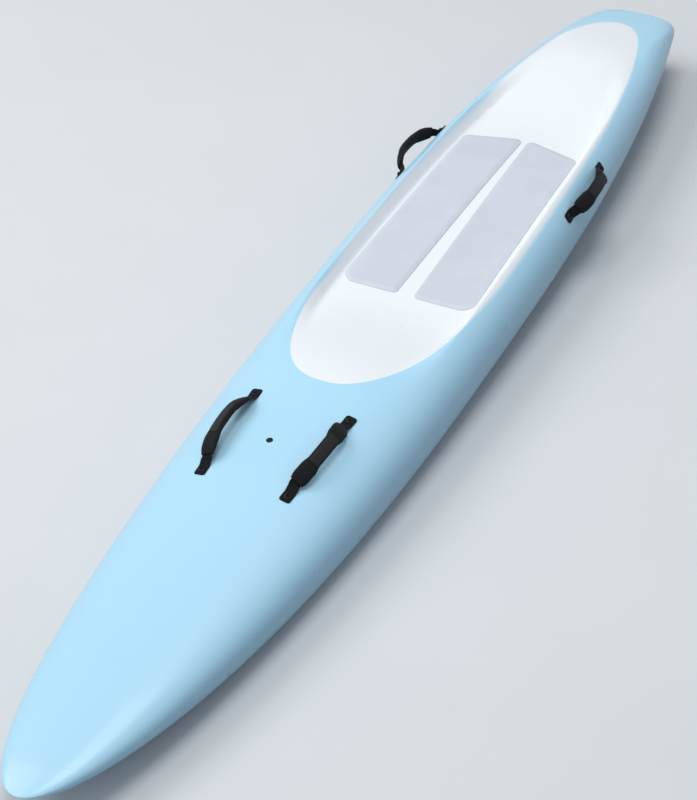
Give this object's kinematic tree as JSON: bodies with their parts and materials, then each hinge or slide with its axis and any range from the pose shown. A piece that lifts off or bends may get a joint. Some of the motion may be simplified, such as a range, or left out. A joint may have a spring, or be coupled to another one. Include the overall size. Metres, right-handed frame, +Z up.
{
  "type": "prone paddle board",
  "caption": "Laminated foam racing paddle board with a scooped kneeling well, two knee pads, hinged webbing carry handles, a screw vent and a bolt-in fin.",
  "frame": {"origin": "on the floor under the middle of the board's length, on its centreline", "axes": "+X towards the bow, +Y to port, +Z up; the board stands on its fin tip and bottom, so it is pitched about 2.75 degrees bow down"},
  "size_m": [3.202, 0.5703, 0.2537],
  "materials": {
    "deck_laminate": "painted glass laminate, pale blue with a white centre",
    "hull_laminate": "painted glass laminate, pale blue",
    "foam": "white bead foam",
    "plywood": "bare plywood",
    "pad_foam": "pale grey closed-cell foam",
    "webbing": "black woven webbing",
    "neoprene": "black neoprene with a knitted face",
    "label": "blank woven label",
    "black_plastic": "moulded black nylon",
    "black_steel": "blackened stainless steel",
    "stainless": "stainless steel",
    "brass": "plain brass",
    "seal_rubber": "black rubber",
    "fin_laminate": "dark glass laminate"
  },
  "bodies": {
    "board": {"deck_skin": "deck_laminate", "hull_skin": "hull_laminate", "port_foam_core": "foam", "starboard_foam_core": "foam", "stringer": "plywood", "port_knee_pad": "pad_foam", "starboard_knee_pad": "pad_foam", "vent_body": "black_plastic", "vent_seal": "seal_rubber", "fin_box": "black_plastic", "fin": "fin_laminate", "fin_screw": "stainless", "fin_nut": "brass", "front_port_handle_fore_tongue": "webbing", "front_port_handle_fore_screw": "black_steel", "front_port_handle_fore_washer": "black_plastic", "front_port_handle_fore_insert": "black_plastic", "front_port_handle_aft_tongue": "webbing", "front_port_handle_aft_screw": "black_steel", "front_port_handle_aft_washer": "black_plastic", "front_port_handle_aft_insert": "black_plastic", "front_starboard_handle_fore_tongue": "webbing", "front_starboard_handle_fore_screw": "black_steel", "front_starboard_handle_fore_washer": "black_plastic", "front_starboard_handle_fore_insert": "black_plastic", "front_starboard_handle_aft_tongue": "webbing", "front_starboard_handle_aft_screw": "black_steel", "front_starboard_handle_aft_washer": "black_plastic", "front_starboard_handle_aft_insert": "black_plastic", "rear_port_handle_fore_tongue": "webbing", "rear_port_handle_fore_screw": "black_steel", "rear_port_handle_fore_washer": "black_plastic", "rear_port_handle_fore_insert": "black_plastic", "rear_port_handle_aft_tongue": "webbing", "rear_port_handle_aft_screw": "black_steel", "rear_port_handle_aft_washer": "black_plastic", "rear_port_handle_aft_insert": "black_plastic", "rear_starboard_handle_fore_tongue": "webbing", "rear_starboard_handle_fore_screw": "black_steel", "rear_starboard_handle_fore_washer": "black_plastic", "rear_starboard_handle_fore_insert": "black_plastic", "rear_starboard_handle_aft_tongue": "webbing", "rear_starboard_handle_aft_screw": "black_steel", "rear_starboard_handle_aft_washer": "black_plastic", "rear_starboard_handle_aft_insert": "black_plastic"},
    "front_port_loop": {"front_port_handle_loop": "webbing", "front_port_handle_sleeve": "neoprene", "front_port_handle_label": "label"},
    "front_starboard_loop": {"front_starboard_handle_loop": "webbing", "front_starboard_handle_sleeve": "neoprene", "front_starboard_handle_label": "label"},
    "rear_port_loop": {"rear_port_handle_loop": "webbing", "rear_port_handle_sleeve": "neoprene", "rear_port_handle_label": "label"},
    "rear_starboard_loop": {"rear_starboard_handle_loop": "webbing", "rear_starboard_handle_sleeve": "neoprene", "rear_starboard_handle_label": "label"},
    "vent_plug": {"vent_screw": "black_plastic"}
  },
  "joints": [
    {"name": "front_port_swing", "type": "hinge", "parent": "board", "child": "front_port_loop", "pos_m": [0.53754, 0.1191, 0.21877], "axis": [0.9967, -0.0507, -0.0634], "range_deg": [-9, 63]},
    {"name": "front_starboard_swing", "type": "hinge", "parent": "board", "child": "front_starboard_loop", "pos_m": [0.53754, -0.1191, 0.21877], "axis": [0.9967, 0.0507, -0.0634], "range_deg": [-53, 19]},
    {"name": "rear_port_swing", "type": "hinge", "parent": "board", "child": "rear_port_loop", "pos_m": [-0.67235, 0.24621, 0.20957], "axis": [0.9979, 0.0533, -0.0366], "range_deg": [-43, 29]},
    {"name": "rear_starboard_swing", "type": "hinge", "parent": "board", "child": "rear_starboard_loop", "pos_m": [-0.67235, -0.24621, 0.20957], "axis": [0.9979, -0.0533, -0.0366], "range_deg": [-53, 19]},
    {"name": "vent_turn", "type": "hinge", "parent": "board", "child": "vent_plug", "pos_m": [0.53293, -0.0115, 0.21312], "axis": [0.0705, -0.0047, 0.9975], "range_deg": [0, 450]}
  ]
}
